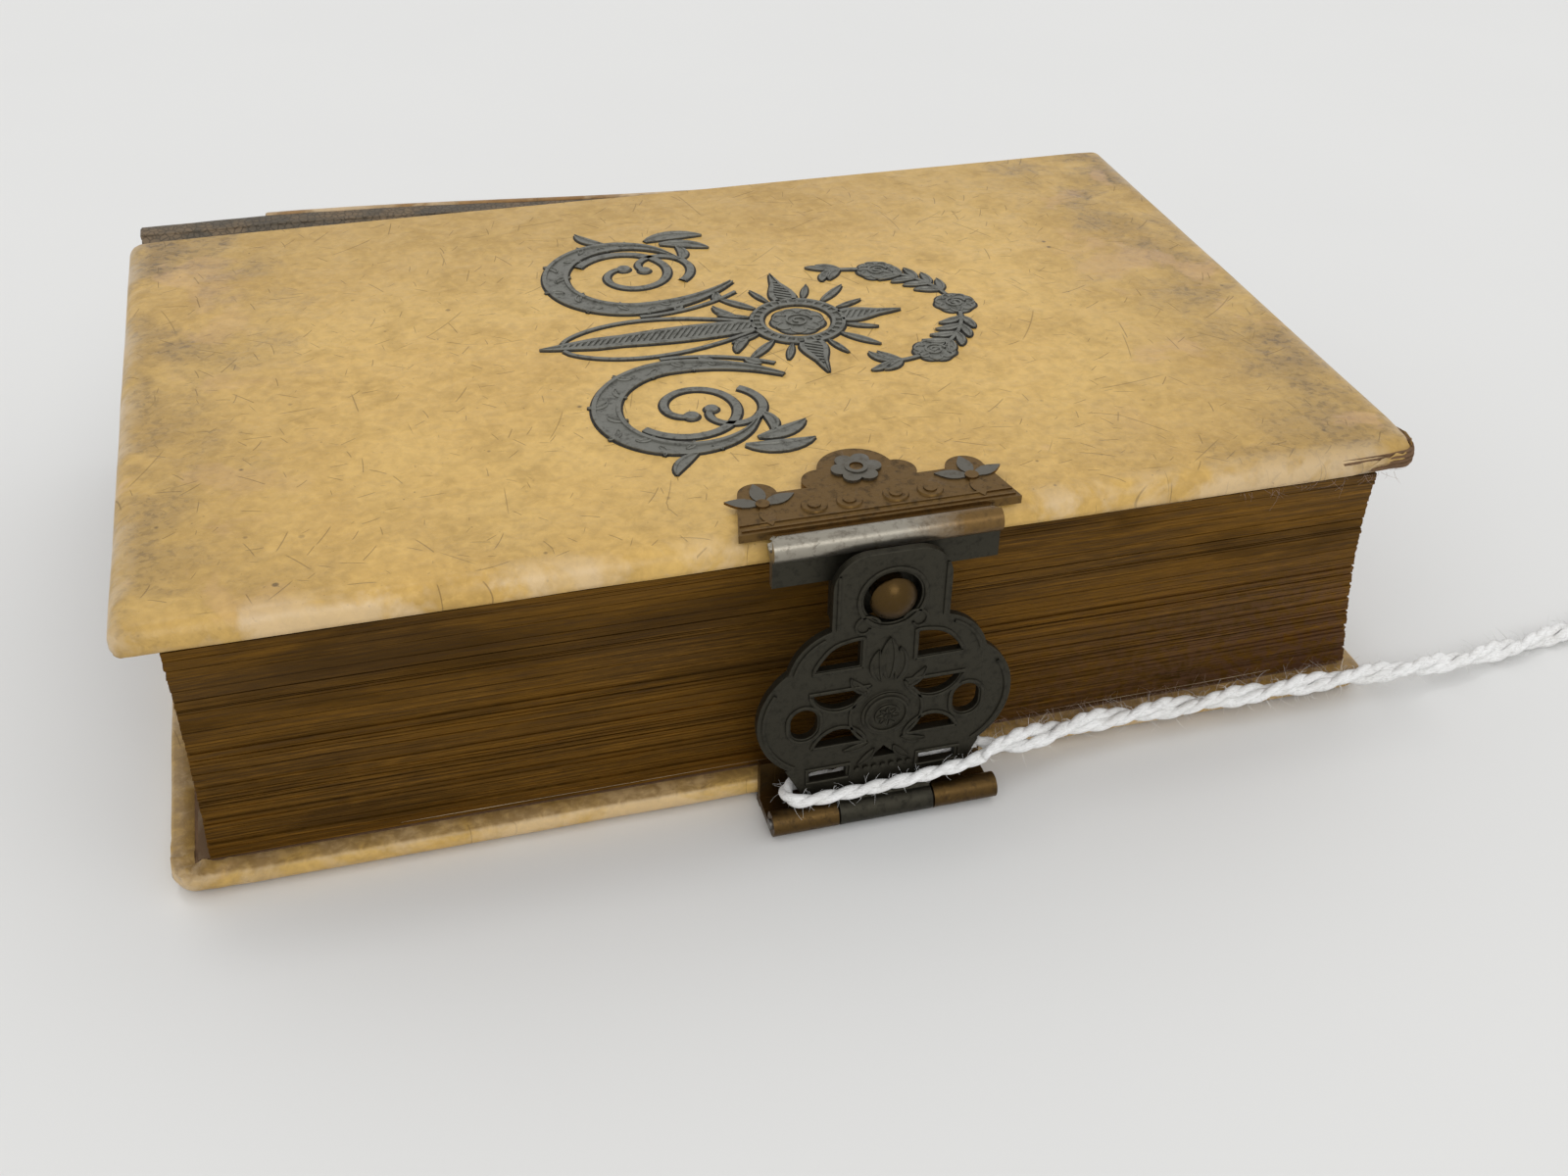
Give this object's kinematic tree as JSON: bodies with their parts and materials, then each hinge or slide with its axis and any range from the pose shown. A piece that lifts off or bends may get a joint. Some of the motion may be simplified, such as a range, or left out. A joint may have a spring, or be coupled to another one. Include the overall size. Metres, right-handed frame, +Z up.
{
  "type": "prayer book",
  "caption": "Small round-backed book with hard covers, rounded fore corners, a metal cross ornament and a pierced hinged clasp that fastens on a stud at the fore edge.",
  "frame": {"origin": "middle of the closed book's outline on the surface that it lies on, between the barrel of the clasp at the fore edge and the bulge of the spine", "axes": "+X along the spine towards the head of the book, +Y from the fore edge towards the spine, +Z up from the back cover to the front cover"},
  "size_m": [0.1479, 0.0828, 0.0299],
  "materials": {
    "celluloid": "polished, worn",
    "spine_celluloid": "polished, worn",
    "board": "raw",
    "endpaper": "matte",
    "page_edges": "gilt, worn",
    "leather": "worn",
    "linen": "woven",
    "lining": "raw",
    "silk": "woven",
    "clasp_brass": "tarnished",
    "clasp_silver": "worn",
    "stud_brass": "worn",
    "hasp_metal": "dark patina",
    "steel_pin": "dull",
    "ornament_metal": "dull, inlaid lines",
    "string": "twisted cotton"
  },
  "bodies": {
    "back_cover": {"back_board": "board", "back_plate": "celluloid", "back_pastedown": "endpaper", "back_leather": "leather", "hinge_plate": "clasp_brass", "hinge_pin": "steel_pin", "hinge_rivets": "clasp_brass", "string_run": "string", "string_knot": "string"},
    "hasp": {"hasp": "hasp_metal", "string_loop": "string"},
    "block": {"back_flyleaf": "endpaper", "sewing_tapes": "linen", "spine_lining": "lining", "head_band": "silk", "tail_band": "silk", "spine_card": "lining", "spine_leather": "leather", "spine_plate": "spine_celluloid", "gathering_1": "page_edges", "gathering_2": "page_edges", "gathering_3": "page_edges", "gathering_4": "page_edges", "gathering_5": "page_edges", "gathering_6": "page_edges", "gathering_7": "page_edges", "gathering_8": "page_edges", "gathering_9": "page_edges", "gathering_10": "page_edges", "gathering_11": "page_edges", "gathering_12": "page_edges", "gathering_13": "page_edges", "gathering_14": "page_edges", "gathering_15": "page_edges", "gathering_16": "page_edges"},
    "front_cover": {"front_board": "board", "front_plate": "celluloid", "front_pastedown": "endpaper", "front_leather": "leather", "cover_cross": "ornament_metal", "cover_scrolls": "ornament_metal", "cover_garland": "ornament_metal", "catch_plate": "clasp_brass", "catch_stud": "stud_brass", "catch_rivets": "clasp_silver"},
    "flyleaf": {"front_flyleaf": "endpaper"},
    "leaves_1": {"leaf_group_1": "page_edges"},
    "leaves_2": {"leaf_group_2": "page_edges"},
    "leaves_3": {"leaf_group_3": "page_edges"}
  },
  "joints": [
    {"name": "hasp_hinge", "type": "hinge", "parent": "back_cover", "child": "hasp", "pos_m": [0.0049, -0.04027, 0.0014], "axis": [1, 0, 0], "range_deg": [0, 95]},
    {"name": "back_joint", "type": "hinge", "parent": "back_cover", "child": "block", "pos_m": [0, 0.03633, 0.0006], "axis": [-1, 0, 0], "range_deg": [0, 60]},
    {"name": "front_joint", "type": "hinge", "parent": "block", "child": "front_cover", "pos_m": [0, 0.03633, 0.02816], "axis": [-1, 0, 0], "range_deg": [0, 125]},
    {"name": "flyleaf_turn", "type": "hinge", "parent": "block", "child": "flyleaf", "pos_m": [0, 0.03484, 0.02482], "axis": [-1, 0, 0], "range_deg": [0, 75]},
    {"name": "leaves_3_turn", "type": "hinge", "parent": "block", "child": "leaves_3", "pos_m": [0, 0.03484, 0.02482], "axis": [-1, 0, 0], "range_deg": [0, 56.25]},
    {"name": "leaves_2_turn", "type": "hinge", "parent": "block", "child": "leaves_2", "pos_m": [0, 0.03484, 0.02482], "axis": [-1, 0, 0], "range_deg": [0, 37.5]},
    {"name": "leaves_1_turn", "type": "hinge", "parent": "block", "child": "leaves_1", "pos_m": [0, 0.03484, 0.02482], "axis": [-1, 0, 0], "range_deg": [0, 18.75]}
  ],
  "couplings": [
    {"joint": "flyleaf_turn", "follows": "front_joint", "ratio": 0.6},
    {"joint": "leaves_3_turn", "follows": "front_joint", "ratio": 0.45},
    {"joint": "leaves_2_turn", "follows": "front_joint", "ratio": 0.3},
    {"joint": "leaves_1_turn", "follows": "front_joint", "ratio": 0.15}
  ]
}
